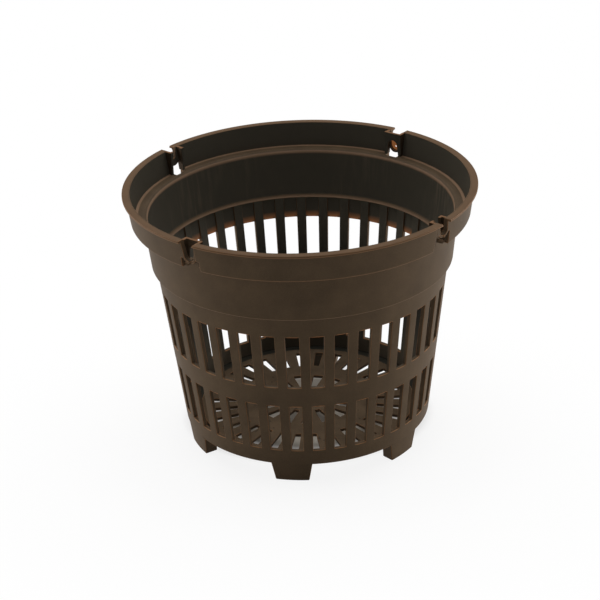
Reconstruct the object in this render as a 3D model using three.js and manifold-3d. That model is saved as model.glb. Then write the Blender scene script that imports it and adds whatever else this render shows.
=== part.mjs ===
// Net pot: a round basket pot moulded in dark brown plastic. From the top down it has a flat lip, a
// plain collar with four hanger eyes, a ledge, a plain band, two rows of tall slots, a slotted floor
// and six feet. Each zone of the moulding is its own closed solid, set face to face with the next.
// Millimetres, +Z up. The origin is the middle of the plane that the feet stand on, and the front
// hanger eye faces -Y.

import * as THREE from "three";
import { mergeVertices } from "three/addons/utils/BufferGeometryUtils.js";
import Module from "manifold-3d";

// Heights of the zones, stacked from the ground up
const footHeight = 8.5;
const floorThickness = 1.5;
const baseHoopHeight = 5.7;
const lowerSlotHeight = 22.5;
const middleHoopHeight = 9.4;
const upperSlotHeight = 24.8;
const upperWebHeight = 9.25;
const bandHeight = 20.55;
const ledgeThickness = 1.8;
const collarHeight = 12.3;

// Collar and lip
const rimRadius = 75;
const lipThickness = 1;
const lipOverhang = 1.5;
const collarWall = 2;
const collarTaper = 1.6;

// Ledge and plain band, with the step where the band meets the slotted wall
const ledgeWidth = 4.9;
const ledgeEdgeRadius = 1.2;
const ledgeEdgeLand = 0.3;
const bandWall = 1.8;
const bandTaper = 2.25;
const stepWidth = 1.85;
const stepThickness = 1.65;
const stepEdgeDrop = 0.8;

// Slotted wall: the wall under the step, the slots in it, and the thin webs between its inner ribs
const wallTaper = 8.8;
const wallThickness = 1.8;
const slotCount = 38;
const upperSlotWidth = 5.9;
const lowerSlotWidth = 5.3;
const webRecess = 0.7;

// Floor grille: two rings of wedge-shaped slots, one counted in from the wall, one out from the hub
const floorRimWidth = 10;
const outerFloorSlotCount = 30;
const outerFloorSlotLength = 12.7;
const outerFloorSlotWidth = 3.5;
const hubRadius = 10.9;
const innerFloorSlotCount = 15;
const innerFloorSlotLength = 11.1;
const innerFloorSlotWidth = 4.6;

// Feet
const footCount = 6;
const footTopWidth = 17.7;
const footBottomWidth = 14.4;
const footDepth = 5.6;

// Hanger eyes: a stretch of collar with a cup-shaped cut over a strap, and a plate behind it
const eyeCount = 4;
const eyeSpan = 11;
const cupTopWidth = 6.2;
const cupBottomRadius = 2.2;
const strapWidth = 1;
const windowFootWidth = 9;
const windowTopWidth = 8.2;
const plateWidth = 8.8;
const plateThickness = 1.2;
const plateClearance = 0.3;
const cheekThickness = 1.3;
// Closed eyes: a low strap under a deep cup, and an arched hole in the plate
const lowStrapRise = 2.4;
const lowWindowHeight = 4.4;
const archDepth = 3.6;
const archFootWidth = 6.4;
const archTopRadius = 2.4;
// Open eyes: a high strap under a shallow cup, and a slit that splits the plate
const highStrapRise = 5.2;
const highWindowHeight = 6.8;
const slitTopWidth = 4.2;
const slitFootWidth = 6.3;

// How finely round shapes are faceted
const arcStepsPerCollarArc = 20;
const arcStepsPerEye = 4;
const arcStepsPerFoot = 6;
const bandSteps = 96;
const floorSteps = 120;
const cupSteps = 8;
const curveSteps = 4;

// Cutters reach this far past the faces that they cut
const cutterReach = 3;

const fullTurn = 2 * Math.PI;
const quarterTurn = Math.PI / 2;

// Levels
const floorBottom = footHeight;
const floorTop = floorBottom + floorThickness;
const lowerSlotBottom = floorTop + baseHoopHeight;
const lowerSlotTop = lowerSlotBottom + lowerSlotHeight;
const upperSlotBottom = lowerSlotTop + middleHoopHeight;
const upperSlotTop = upperSlotBottom + upperSlotHeight;
const wallTop = upperSlotTop + upperWebHeight;
const bandTop = wallTop + bandHeight;
const ledgeTop = bandTop + ledgeThickness;
const rimTop = bandTop + collarHeight;
const lipBottom = rimTop - lipThickness;

// Radii that follow from the sizes above
const collarTopRadius = rimRadius - lipOverhang;
const collarFootRadius = collarTopRadius - collarTaper;
const ledgeOuterRadius = collarFootRadius - collarWall;
const ledgeInnerRadius = ledgeOuterRadius - ledgeWidth;
const bandTopRadius = ledgeInnerRadius + bandWall;
const bandFootRadius = bandTopRadius - bandTaper;
const wallTopRadius = bandFootRadius - stepWidth;
const wallFootRadius = wallTopRadius - wallTaper;
const plateOuter = Math.sqrt(ledgeOuterRadius ** 2 - (plateWidth / 2) ** 2) - plateClearance;
const plateInner = plateOuter - plateThickness;

// Clear space between an eye's two cheeks
const cheekGap = plateWidth - 2 * cheekThickness;

// Angles between like features
const slotPitch = fullTurn / slotCount;
const eyePitch = fullTurn / eyeCount;
const eyeHalfAngle = Math.asin(eyeSpan / 2 / rimRadius);

const wasm = await Module();
wasm.setup();

// A point at a radius, an angle counted from the front towards +X, and a height
function polar(radius, angle, height) {
  return new THREE.Vector3(radius * Math.sin(angle), -radius * Math.cos(angle), height);
}

// Joins like outlines, one row of points after another, into a closed skin.
// The skin either runs round into itself or is capped at both ends by the flat outline.
function loft(rows, outline, runsRound) {
  const size = outline.length;
  const positions = rows.flat().flatMap((point) => point.toArray());
  const faces = [];
  const spans = runsRound ? rows.length : rows.length - 1;
  for (let row = 0; row < spans; row += 1) {
    const here = row * size;
    const next = ((row + 1) % rows.length) * size;
    for (let corner = 0; corner < size; corner += 1) {
      const after = (corner + 1) % size;
      faces.push(here + corner, next + corner, next + after);
      faces.push(here + corner, next + after, here + after);
    }
  }
  if (!runsRound) {
    const flat = outline.map(([radius, height]) => new THREE.Vector2(radius, height));
    const last = (rows.length - 1) * size;
    for (const [a, b, c] of THREE.ShapeUtils.triangulateShape(flat, [])) {
      faces.push(a, b, c);
      faces.push(last + a, last + c, last + b);
    }
  }
  const geometry = new THREE.BufferGeometry();
  geometry.setAttribute("position", new THREE.Float32BufferAttribute(positions, 3));
  geometry.setIndex(faces);
  return geometry;
}

// Turns an outline of [radius, height] corners through a list of angles
function turned(outline, angles, runsRound) {
  const rows = angles.map((angle) => outline.map(([radius, height]) => polar(radius, angle, height)));
  return loft(rows, outline, runsRound);
}

// Evenly spaced angles from one angle to another, with both ends
function spread(from, to, steps) {
  return Array.from({ length: steps + 1 }, (_, step) => from + ((to - from) * step) / steps);
}

// Evenly spaced angles round a full turn
function roundAngles(steps) {
  return spread(0, fullTurn, steps).slice(0, steps);
}

// A closed geometry as a solid that can be joined and cut
function solidOf(geometry) {
  const bare = geometry.clone();
  bare.deleteAttribute("normal");
  bare.deleteAttribute("uv");
  const merged = mergeVertices(bare);
  const vertProperties = new Float32Array(merged.getAttribute("position").array);
  const triVerts = new Uint32Array(merged.getIndex().array);
  return new wasm.Manifold(new wasm.Mesh({ numProp: 3, vertProperties, triVerts }));
}

// A solid back as a geometry
function geometryOf(solid) {
  const mesh = solid.getMesh();
  const geometry = new THREE.BufferGeometry();
  geometry.setAttribute("position", new THREE.BufferAttribute(mesh.vertProperties, 3));
  geometry.setIndex(new THREE.BufferAttribute(mesh.triVerts, 1));
  return geometry;
}

const pot = new THREE.Group();
pot.name = "net_pot";

// Adds one zone of the pot, in its dark brown plastic
function addPiece(name, geometry) {
  const brownPlastic = new THREE.MeshStandardMaterial({
    color: 0x3f352a,
    roughness: 0.55,
    metalness: 0,
  });
  const piece = new THREE.Mesh(geometry, brownPlastic);
  piece.name = name;
  pot.add(piece);
  return piece;
}

// Radius of the slotted wall's outer face at a height
function wallRadius(height) {
  const share = (height - floorBottom) / (wallTop - floorBottom);
  return wallFootRadius + (wallTopRadius - wallFootRadius) * share;
}

// Section of the slotted wall between two heights
function wallOutline(bottom, top) {
  return [
    [wallRadius(bottom) - wallThickness, bottom],
    [wallRadius(bottom), bottom],
    [wallRadius(top), top],
    [wallRadius(top) - wallThickness, top],
  ];
}

// Feet: short curved blocks that carry the wall's line on down and narrow towards the ground
function footGeometry(middleAngle) {
  const topHalfAngle = Math.asin(footTopWidth / 2 / wallFootRadius);
  const bottomRadius = wallRadius(0);
  const bottomHalfAngle = Math.asin(footBottomWidth / 2 / bottomRadius);
  const outline = [
    [bottomRadius - footDepth, 0],
    [bottomRadius, 0],
    [wallFootRadius, floorBottom],
    [wallFootRadius - footDepth, floorBottom],
  ];
  const halfAngles = [bottomHalfAngle, bottomHalfAngle, topHalfAngle, topHalfAngle];
  const rows = spread(-1, 1, arcStepsPerFoot).map((share) =>
    outline.map(([radius, height], corner) =>
      polar(radius, middleAngle + share * halfAngles[corner], height),
    ),
  );
  return loft(rows, outline, false);
}
for (let foot = 0; foot < footCount; foot += 1) {
  addPiece("foot_" + (foot + 1), footGeometry(((foot + 0.5) * fullTurn) / footCount));
}

// Floor grille: a flat disc with an outer ring of narrow wedge slots and an inner ring of wide ones
function wedgeCutters(count, start, end, endWidth) {
  const halfAngle = Math.asin(endWidth / 2 / end);
  const outline = [
    [start, floorBottom - cutterReach],
    [end, floorBottom - cutterReach],
    [end, floorTop + cutterReach],
    [start, floorTop + cutterReach],
  ];
  return Array.from({ length: count }, (_, slot) => {
    const middle = ((slot + 0.5) * fullTurn) / count;
    return solidOf(turned(outline, [middle - halfAngle, middle, middle + halfAngle], false));
  });
}
const floorOutline = [
  new THREE.Vector2(0, floorBottom),
  new THREE.Vector2(wallFootRadius, floorBottom),
  new THREE.Vector2(wallRadius(floorTop), floorTop),
  new THREE.Vector2(0, floorTop),
];
const outerSlotEnd = wallFootRadius - floorRimWidth;
const outerSlotStart = outerSlotEnd - outerFloorSlotLength;
const innerSlotEnd = hubRadius + innerFloorSlotLength;
const floorSlots = [
  ...wedgeCutters(outerFloorSlotCount, outerSlotStart, outerSlotEnd, outerFloorSlotWidth),
  ...wedgeCutters(innerFloorSlotCount, hubRadius, innerSlotEnd, innerFloorSlotWidth),
];
const floorDisc = new THREE.LatheGeometry(floorOutline, floorSteps).rotateX(quarterTurn);
const floorGrille = floorSlots.reduce((rest, slot) => rest.subtract(slot), solidOf(floorDisc));
addPiece("floor_grille", geometryOf(floorGrille));

// Base hoop: the plain wall between the floor and the lower slots
addPiece("base_hoop", turned(wallOutline(floorTop, lowerSlotBottom), roundAngles(bandSteps), true));

// A row of slots: a hoop with bars hanging from it, and webs between the bars where they run up it
function slotRow(bottom, slotTop, top, slotWidth, recess) {
  const halfAngle = Math.asin(slotWidth / 2 / wallRadius(slotTop));
  const angles = [];
  for (let slot = 0; slot < slotCount; slot += 1) {
    const middle = (slot + 0.5) * slotPitch;
    angles.push(middle - halfAngle, middle, middle + halfAngle);
  }
  let row = solidOf(turned(wallOutline(bottom, top), angles, true));
  const slotOutline = [
    [wallRadius(bottom) - wallThickness - cutterReach, bottom - cutterReach],
    [wallTopRadius + cutterReach, bottom - cutterReach],
    [wallTopRadius + cutterReach, slotTop],
    [wallRadius(bottom) - wallThickness - cutterReach, slotTop],
  ];
  const webInner = (height) => wallRadius(height) - wallThickness + recess;
  const webOutline = [
    [wallRadius(bottom) - wallThickness - cutterReach, slotTop],
    [webInner(slotTop), slotTop],
    [webInner(top + cutterReach), top + cutterReach],
    [wallRadius(bottom) - wallThickness - cutterReach, top + cutterReach],
  ];
  for (let slot = 0; slot < slotCount; slot += 1) {
    const middle = (slot + 0.5) * slotPitch;
    const ends = [middle - halfAngle, middle, middle + halfAngle];
    row = row.subtract(solidOf(turned(slotOutline, ends, false)));
    if (recess > 0) {
      row = row.subtract(solidOf(turned(webOutline, ends, false)));
    }
  }
  return geometryOf(row);
}

// Lower slot row: the middle hoop with the lower bars
addPiece("lower_slot_row", slotRow(lowerSlotBottom, lowerSlotTop, upperSlotBottom, lowerSlotWidth, 0));

// Upper slot row: the upper bars, which run on inside as ribs up to the step
addPiece(
  "upper_slot_row",
  slotRow(upperSlotBottom, upperSlotTop, wallTop, upperSlotWidth, webRecess),
);

// Upper band: the plain wall above the slots, with the small step at its foot
const bandOutline = [
  [wallTopRadius - wallThickness, wallTop],
  [bandFootRadius, wallTop],
  [bandTopRadius, bandTop],
  [ledgeInnerRadius, bandTop],
  [bandFootRadius - bandWall, wallTop + stepThickness],
  [wallTopRadius - wallThickness, wallTop + stepThickness - stepEdgeDrop],
];
addPiece("upper_band", turned(bandOutline, roundAngles(bandSteps), true));

// Angles that the collar, the eyes and the ledge share, so that their round faces meet
function eyeAngles(eye) {
  const middle = eye * eyePitch;
  return spread(middle - eyeHalfAngle, middle + eyeHalfAngle, arcStepsPerEye);
}
function collarAngles(eye) {
  const start = eye * eyePitch + eyeHalfAngle;
  return spread(start, start + eyePitch - 2 * eyeHalfAngle, arcStepsPerCollarArc);
}

// An upright outline across the front eye, drawn as [sideways, height], pushed through a depth of wall
function upright(shape, innerRadius, outerRadius) {
  const block = new THREE.ExtrudeGeometry(shape, {
    depth: outerRadius - innerRadius,
    bevelEnabled: false,
    curveSegments: cupSteps,
  });
  block.rotateX(quarterTurn);
  block.translate(0, -innerRadius, 0);
  return solidOf(block);
}

// A four-cornered outline, symmetrical about the eye's middle
function trapezium(bottom, bottomWidth, top, topWidth) {
  const shape = new THREE.Shape();
  shape.moveTo(-bottomWidth / 2, bottom);
  shape.lineTo(bottomWidth / 2, bottom);
  shape.lineTo(topWidth / 2, top);
  shape.lineTo(-topWidth / 2, top);
  shape.closePath();
  return shape;
}

// Shoulder ledge: the flat inner shelf between the band and the collar, with a rounded inner edge.
// It is cut through between the cheeks of each eye, where the mould's core came up from below.
const ledgeRound = Math.min(ledgeEdgeRadius, ledgeThickness - ledgeEdgeLand);
const ledgeEdge = spread(0, quarterTurn, curveSteps).map((turn) => [
  ledgeInnerRadius + ledgeRound * (1 - Math.sin(turn)),
  ledgeTop - ledgeRound * (1 - Math.cos(turn)),
]);
const ledgeOutline = [
  [ledgeInnerRadius, bandTop],
  [ledgeOuterRadius, bandTop],
  [ledgeOuterRadius, ledgeTop],
  ...ledgeEdge,
];
const ledgeAngles = [];
for (let eye = 0; eye < eyeCount; eye += 1) {
  ledgeAngles.push(...eyeAngles(eye).slice(0, arcStepsPerEye));
  ledgeAngles.push(...collarAngles(eye).slice(0, arcStepsPerCollarArc));
}
const coreShape = trapezium(bandTop - cutterReach, cheekGap, ledgeTop + cutterReach, cheekGap);
const core = geometryOf(upright(coreShape, plateInner, rimRadius));
let ledge = solidOf(turned(ledgeOutline, ledgeAngles, true));
for (let eye = 0; eye < eyeCount; eye += 1) {
  ledge = ledge.subtract(solidOf(core.clone().rotateZ(eye * eyePitch)));
}
addPiece("shoulder_ledge", geometryOf(ledge));

// Section of the collar and its lip
const collarOutline = [
  [ledgeOuterRadius, bandTop],
  [collarFootRadius, bandTop],
  [collarTopRadius, lipBottom],
  [rimRadius, lipBottom],
  [rimRadius, rimTop],
  [collarTopRadius - collarWall, rimTop],
  [ledgeOuterRadius, ledgeTop],
];

// Collar arcs: the plain stretches of collar between the hanger eyes
for (let eye = 0; eye < eyeCount; eye += 1) {
  addPiece("collar_arc_" + (eye + 1), turned(collarOutline, collarAngles(eye), false));
}

// The cup-shaped cut, open at the top; grow widens it all round, which gives the strap's lower edge
function cup(strapRise, grow) {
  const radius = cupBottomRadius + grow;
  const centre = bandTop + strapRise + strapWidth + cupBottomRadius;
  const halfTop = cupTopWidth / 2 + grow;
  const shape = new THREE.Shape();
  shape.moveTo(halfTop, rimTop + cutterReach);
  shape.lineTo(-halfTop, rimTop + cutterReach);
  shape.lineTo(-halfTop, rimTop);
  shape.lineTo(-radius, centre);
  shape.absarc(0, centre, radius, Math.PI, fullTurn, false);
  shape.lineTo(halfTop, rimTop);
  shape.closePath();
  return shape;
}

// The arched hole of a closed eye, open at the ledge
function arch() {
  const centre = rimTop - archDepth - archTopRadius;
  const shape = new THREE.Shape();
  shape.moveTo(-archFootWidth / 2, ledgeTop - cutterReach);
  shape.lineTo(archFootWidth / 2, ledgeTop - cutterReach);
  shape.lineTo(archFootWidth / 2, ledgeTop);
  shape.lineTo(archTopRadius, centre);
  shape.absarc(0, centre, archTopRadius, 0, Math.PI, false);
  shape.lineTo(-archFootWidth / 2, ledgeTop);
  shape.closePath();
  return shape;
}

// Hanger eye: the notched stretch of collar, two cheeks behind it, and the plate that they carry
function eyeGeometry(strapRise, windowHeight, plateOpening) {
  const insideCollar = ledgeOuterRadius - cutterReach;
  const outsideRim = rimRadius + cutterReach;
  const windowTop = bandTop + windowHeight;
  const windowShape = trapezium(bandTop - cutterReach, windowFootWidth, windowTop, windowTopWidth);
  const strap = upright(cup(strapRise, strapWidth), insideCollar, outsideRim);
  const windowCut = upright(windowShape, insideCollar, outsideRim).subtract(strap);
  const cupCut = upright(cup(strapRise, 0), insideCollar, outsideRim);
  const collarStretch = solidOf(turned(collarOutline, eyeAngles(0), false));
  const notched = collarStretch.subtract(cupCut).subtract(windowCut);

  const plateShape = trapezium(ledgeTop, plateWidth, rimTop, plateWidth);
  const plate = upright(plateShape, plateInner, plateOuter);
  const gapShape = trapezium(ledgeTop, cheekGap, rimTop, cheekGap);
  const cheekBlock = upright(plateShape, plateInner, outsideRim);
  const cheeks = cheekBlock.subtract(upright(gapShape, plateInner, outsideRim));
  const insideOutline = [
    [plateInner - cutterReach, ledgeTop],
    [ledgeOuterRadius + collarWall / 2, ledgeTop],
    [collarTopRadius - collarWall / 2, rimTop],
    [plateInner - cutterReach, rimTop],
  ];
  const insideSpace = solidOf(turned(insideOutline, eyeAngles(0), false));
  const pocket = plate.add(cheeks).intersect(insideSpace).subtract(plateOpening);
  return geometryOf(notched.add(pocket));
}

// The openings in the plate: an arch in a closed eye, and a slit from top to foot in an open one
const slit = trapezium(ledgeTop, slitFootWidth, rimTop, slitTopWidth);
const slitOpening = upright(slit, plateInner - cutterReach, plateOuter);
const archOpening = upright(arch(), plateInner - cutterReach, plateOuter);

// Closed and open eyes take turns round the rim, starting with a closed one at the front
const closedEye = eyeGeometry(lowStrapRise, lowWindowHeight, archOpening);
const openEye = eyeGeometry(highStrapRise, highWindowHeight, slitOpening);
for (let eye = 0; eye < eyeCount; eye += 1) {
  const piece = addPiece("hanger_eye_" + (eye + 1), eye % 2 === 0 ? closedEye : openEye);
  piece.rotation.z = eye * eyePitch;
}

export default pot;
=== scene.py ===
import itertools
import math

import bmesh
import bpy
from mathutils import Matrix, Vector


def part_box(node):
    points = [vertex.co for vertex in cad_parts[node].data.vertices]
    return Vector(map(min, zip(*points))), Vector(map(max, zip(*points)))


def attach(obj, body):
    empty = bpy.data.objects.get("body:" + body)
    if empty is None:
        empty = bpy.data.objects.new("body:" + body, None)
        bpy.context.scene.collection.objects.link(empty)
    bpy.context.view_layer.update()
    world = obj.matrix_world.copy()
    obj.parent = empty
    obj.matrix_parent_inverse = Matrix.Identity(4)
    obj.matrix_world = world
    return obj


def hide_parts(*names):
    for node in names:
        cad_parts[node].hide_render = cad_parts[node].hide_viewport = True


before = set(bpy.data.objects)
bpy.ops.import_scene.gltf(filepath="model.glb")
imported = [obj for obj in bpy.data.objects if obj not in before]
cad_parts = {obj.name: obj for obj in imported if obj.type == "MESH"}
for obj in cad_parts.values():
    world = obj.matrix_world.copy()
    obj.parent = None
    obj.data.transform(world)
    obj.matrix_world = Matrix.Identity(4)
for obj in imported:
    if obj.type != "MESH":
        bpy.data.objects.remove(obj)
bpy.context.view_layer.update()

# Feet: six short solid blocks under the wall, moulded in one with it in dark brown polypropylene.
# Each carries the wall's line on down and narrows towards the ground, and its lower corners are
# rounded, as the cutter left them in the mould. Two stand a little nearer to the one between them.
floor_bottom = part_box("floor_grille")[0].z
wall_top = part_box("upper_band")[0].z
wall_foot_radius = 0.0539
wall_top_radius = 0.0627
foot_shifts = (0.0, math.radians(-2.0), 0.0, 0.0, 0.0, math.radians(2.4))
foot_count = len(foot_shifts)
foot_top_width = 0.0177
foot_bottom_width = 0.0144
foot_depth = 0.0056
foot_corner_radius = 0.0019
foot_corner_steps = 5
foot_edge_radius = 0.0004
foot_edge_glow = 0.35
foot_seat = 0.0003
foot_skin = 0.00002
foot_shares = (-1.0, -0.7, -0.35, 0.0, 0.35, 0.7, 1.0)
rounding_steps = 3
sharp_angle = 0.6
smooth_angle = math.radians(50)
straightness = 100


def wall_radius(height):
    """Radius of the wall's outer face at a height; the feet carry the same line on down."""
    slope = (wall_top_radius - wall_foot_radius) / (wall_top - floor_bottom)
    return wall_foot_radius + slope * (height - floor_bottom)


def block_skin(counts, filled, corner, open_sides=()):
    """Skin of the filled blocks in a grid counted across, inwards and upwards.

    corner gives the place of a grid corner, and an open side is an (axis, end) left without faces.
    """
    skin = bmesh.new()
    corners = {}

    def vertex(index):
        """The skin's point at a grid corner, made when it is first asked for."""
        if index not in corners:
            corners[index] = skin.verts.new(corner(*index))
        return corners[index]

    for block in itertools.product(*map(range, counts)):
        if not filled(*block):
            continue
        for axis, end in itertools.product(range(3), range(2)):
            beside = list(block)
            beside[axis] += 2 * end - 1
            if not 0 <= beside[axis] < counts[axis]:
                covered = (axis, end) in open_sides
            else:
                covered = filled(*beside)
            if covered:
                continue
            ring = ((0, 0), (1, 0), (1, 1), (0, 1))
            quad = []
            for first, second in ring if end else reversed(ring):
                index = list(block)
                index[axis] += end
                index[(axis + 1) % 3] += first
                index[(axis + 2) % 3] += second
                quad.append(vertex(tuple(index)))
            skin.faces.new(quad)
    return skin


def point_layer(skin, name):
    """A named value on each point of a skin."""
    return skin.verts.layers.float.get(name) or skin.verts.layers.float.new(name)


def soften(skin, width, steps, chosen, glow=1.0, clamp=True):
    """Rounds the chosen sharp edges, and marks the crest of each outer rounding for a painted highlight.
    """
    crest = point_layer(skin, "painted_edge_highlight")
    edges = [edge for edge in skin.edges if edge.calc_face_angle(0) > sharp_angle and chosen(edge)]
    rounded = bmesh.ops.bevel(
        skin, geom=edges, offset=width, offset_type="OFFSET", affect="EDGES",
        segments=steps, profile=0.5, clamp_overlap=clamp, material=-1,
    )
    new_faces = set(rounded["faces"])
    for point in rounded["verts"]:
        if not point.is_valid or any(face not in new_faces for face in point.link_faces):
            continue
        if sum(edge.calc_face_angle_signed(0) for edge in point.link_edges) > 0:
            point[crest] = glow


def wrap_on_wall(skin, middle):
    """Bends a flat skin, drawn across, inwards and upwards, round the wall's cone."""
    for point in skin.verts:
        across, inwards, height = point.co
        radius = wall_radius(height) - inwards
        angle = middle + across / wall_radius(height)
        point.co = (radius * math.sin(angle), -radius * math.cos(angle), height)


def make_object(name, skin, plastic):
    """Puts a finished skin into the scene as an object of one plastic."""
    shape = bpy.data.meshes.new(name)
    skin.to_mesh(shape)
    skin.free()
    shape.materials.append(plastic)
    piece = bpy.data.objects.new(name, shape)
    bpy.context.scene.collection.objects.link(piece)
    return piece


def apply_modifiers(piece):
    """Turns a piece's modifiers into plain mesh."""
    depsgraph = bpy.context.evaluated_depsgraph_get()
    shape = bpy.data.meshes.new_from_object(
        piece.evaluated_get(depsgraph), preserve_all_data_layers=True, depsgraph=depsgraph
    )
    piece.modifiers.clear()
    piece.data = shape


def settle(piece, *nodes):
    """Evens the shading over the rounded edges, and sets the finished piece in the frame."""
    piece.data.shade_smooth()
    piece.data.set_sharp_from_angle(angle=smooth_angle)
    shading = piece.modifiers.new("even_shading", "WEIGHTED_NORMAL")
    shading.keep_sharp = True
    apply_modifiers(piece)
    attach(piece, "root")
    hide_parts(*nodes)


dark_brown = (0.0562, 0.0381, 0.0224)
light_brown = (0.1054, 0.0706, 0.0418)
brown_stops = (0.2, 0.8)
noise_middle = 0.5
patch_scale = 90.0
grain_scale = 2600.0
grain_share = 0.5
painted_inner_sheen = (0.070, 0.067, 0.053)
painted_sheen_share = 0.75
inner_facing = (-0.038, -0.058)
drag_brown = (0.20, 0.16, 0.11)
drag_scale = 480.0
drag_stretch = (1.0, 1.0, 0.025)
drag_range = (0.48, 0.78)
drag_group_scale = 38.0
drag_group_stretch = (1.0, 1.0, 0.5)
drag_group_range = (0.42, 0.68)
fleck_brown = (0.020, 0.015, 0.011)
fleck_scale = 420.0
fleck_range = (0.68, 0.76)
shade_brown = (0.032, 0.030, 0.023)
painted_highlight_brown = (0.34, 0.165, 0.075)
painted_highlight_share = 0.85
backlit_orange = (0.50, 0.19, 0.065)
backlight = 0.28
satin_shine = 0.045
satin_roughness = 0.42
grain_roughness = 0.16
patch_roughness = 0.10
grain_relief = {"Strength": 0.12, "Distance": 0.0001}
mix_under = 6
mix_over = 7
mix_result = 2


def add_node(tree, kind, settings=(), sockets=()):
    """Adds a node with its settings and its sockets' values."""
    node = tree.nodes.new(kind)
    for setting, value in dict(settings).items():
        setattr(node, setting, value)
    for socket, value in dict(sockets).items():
        node.inputs[socket].default_value = value
    return node


def moulded_brown(name, seed, mottle=0.55, streaks=0.0, specks=0.0, lightness=1.0, edge=painted_highlight_brown):
    """Dark brown satin polypropylene, mottled, with drag streaks inside, inner faces greyed as painted
    sheen, painted highlights on its edges and a painted orange glow on thin plastic.
    """
    plastic = bpy.data.materials.new(name)
    plastic.use_nodes = True
    tree = plastic.node_tree
    tree.nodes.clear()
    link = tree.links.new
    place = add_node(tree, "ShaderNodeTexCoord")
    surface = add_node(tree, "ShaderNodeNewGeometry")

    def noise(scale, detail, stretch=(1.0, 1.0, 1.0)):
        """Cloudy noise over the piece."""
        mapping = add_node(
            tree, "ShaderNodeMapping", sockets={"Location": (seed, 0.0, 0.0), "Scale": stretch}
        )
        link(place.outputs["Object"], mapping.inputs["Vector"])
        texture = add_node(tree, "ShaderNodeTexNoise", sockets={"Scale": scale, "Detail": detail})
        link(mapping.outputs["Vector"], texture.inputs["Vector"])
        return texture.outputs["Fac"]

    def maths(operation, first, second):
        """Arithmetic on two values, each a number or another node's output."""
        node = add_node(tree, "ShaderNodeMath", {"operation": operation})
        for socket, value in zip(node.inputs, (first, second)):
            if isinstance(value, (int, float)):
                socket.default_value = value
            else:
                link(value, socket)
        return node.outputs["Value"]

    def above(value, start, full):
        """A share that rises from none to full between two values."""
        node = add_node(tree, "ShaderNodeMapRange", sockets={"From Min": start, "From Max": full})
        link(value, node.inputs["Value"])
        return node.outputs["Result"]

    def blend(share, under, over):
        """A colour laid over another by a share."""
        node = add_node(tree, "ShaderNodeMix", {"data_type": "RGBA"})
        link(share, node.inputs["Factor"])
        link(under, node.inputs[mix_under])
        node.inputs[mix_over].default_value = (*over, 1.0)
        return node.outputs[mix_result]

    def marked(attribute):
        """How strongly the skin's points carry a mark."""
        return add_node(tree, "ShaderNodeAttribute", {"attribute_name": attribute}).outputs["Fac"]

    patches = noise(patch_scale, detail=4.0)
    grain = noise(grain_scale, detail=2.0)
    patch_tone = maths("MULTIPLY", maths("SUBTRACT", patches, noise_middle), mottle)
    grain_tone = maths("MULTIPLY", maths("SUBTRACT", grain, noise_middle), grain_share)
    tone = maths("ADD", maths("ADD", patch_tone, grain_tone), noise_middle)
    ramp = add_node(tree, "ShaderNodeValToRGB")
    for stop, position, brown in zip(ramp.color_ramp.elements, brown_stops, (dark_brown, light_brown)):
        stop.position = position
        stop.color = (*(lightness * share for share in brown), 1.0)
    link(tone, ramp.inputs["Fac"])

    # The level part of a point's place, taken along its normal, is below zero on the pot's inner faces.
    level = add_node(tree, "ShaderNodeVectorMath", {"operation": "MULTIPLY"})
    level.inputs[1].default_value = (1.0, 1.0, 0.0)
    link(place.outputs["Object"], level.inputs[0])
    outwards = add_node(tree, "ShaderNodeVectorMath", {"operation": "DOT_PRODUCT"})
    link(level.outputs["Vector"], outwards.inputs[0])
    link(surface.outputs["Normal"], outwards.inputs[1])
    inside = above(outwards.outputs["Value"], *inner_facing)
    # Painted sheen: inner faces are greyed towards a neutral tone that stands in for the pale sheen on
    # the shaded inner walls.
    colour = blend(maths("MULTIPLY", inside, painted_sheen_share), ramp.outputs["Color"], painted_inner_sheen)
    drag_lines = above(noise(drag_scale, detail=3.0, stretch=drag_stretch), *drag_range)
    drag_noise = noise(drag_group_scale, detail=1.0, stretch=drag_group_stretch)
    drag_groups = above(drag_noise, *drag_group_range)
    drags = maths("MULTIPLY", maths("MULTIPLY", drag_lines, inside), drag_groups)
    colour = blend(maths("MULTIPLY", drags, streaks), colour, drag_brown)
    flecks = above(noise(fleck_scale, detail=1.0), *fleck_range)
    colour = blend(maths("MULTIPLY", flecks, specks), colour, fleck_brown)
    colour = blend(marked("deep_shade"), colour, shade_brown)
    # Painted highlight: the crests of rounded edges are tinted a warm light brown for the light they
    # catch.
    colour = blend(maths("MULTIPLY", marked("painted_edge_highlight"), painted_highlight_share), colour, edge)
    # Painted glow: marked thin plastic is tinted orange for the light that shows through it.
    colour = blend(marked("painted_backlit_glow"), colour, backlit_orange)

    shader = add_node(tree, "ShaderNodeBsdfPrincipled", sockets={"Specular IOR Level": satin_shine})
    link(colour, shader.inputs["Base Color"])
    # The emission paints the same glow, though the plastic is no lamp.
    shader.inputs["Emission Color"].default_value = (*backlit_orange, 1.0)
    link(maths("MULTIPLY", marked("painted_backlit_glow"), backlight), shader.inputs["Emission Strength"])
    dulled = maths("MULTIPLY", grain, grain_roughness)
    dulled = maths("ADD", dulled, maths("MULTIPLY", patches, patch_roughness))
    link(maths("ADD", dulled, satin_roughness), shader.inputs["Roughness"])
    bump = add_node(tree, "ShaderNodeBump", sockets=grain_relief)
    link(grain, bump.inputs["Height"])
    link(bump.outputs["Normal"], shader.inputs["Normal"])
    output = add_node(tree, "ShaderNodeOutputMaterial")
    link(shader.outputs["BSDF"], output.inputs["Surface"])
    return plastic


foot_plastic = moulded_brown("foot_plastic", seed=0.3)
foot_heights = (0.0, floor_bottom, floor_bottom + foot_seat)


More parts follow.
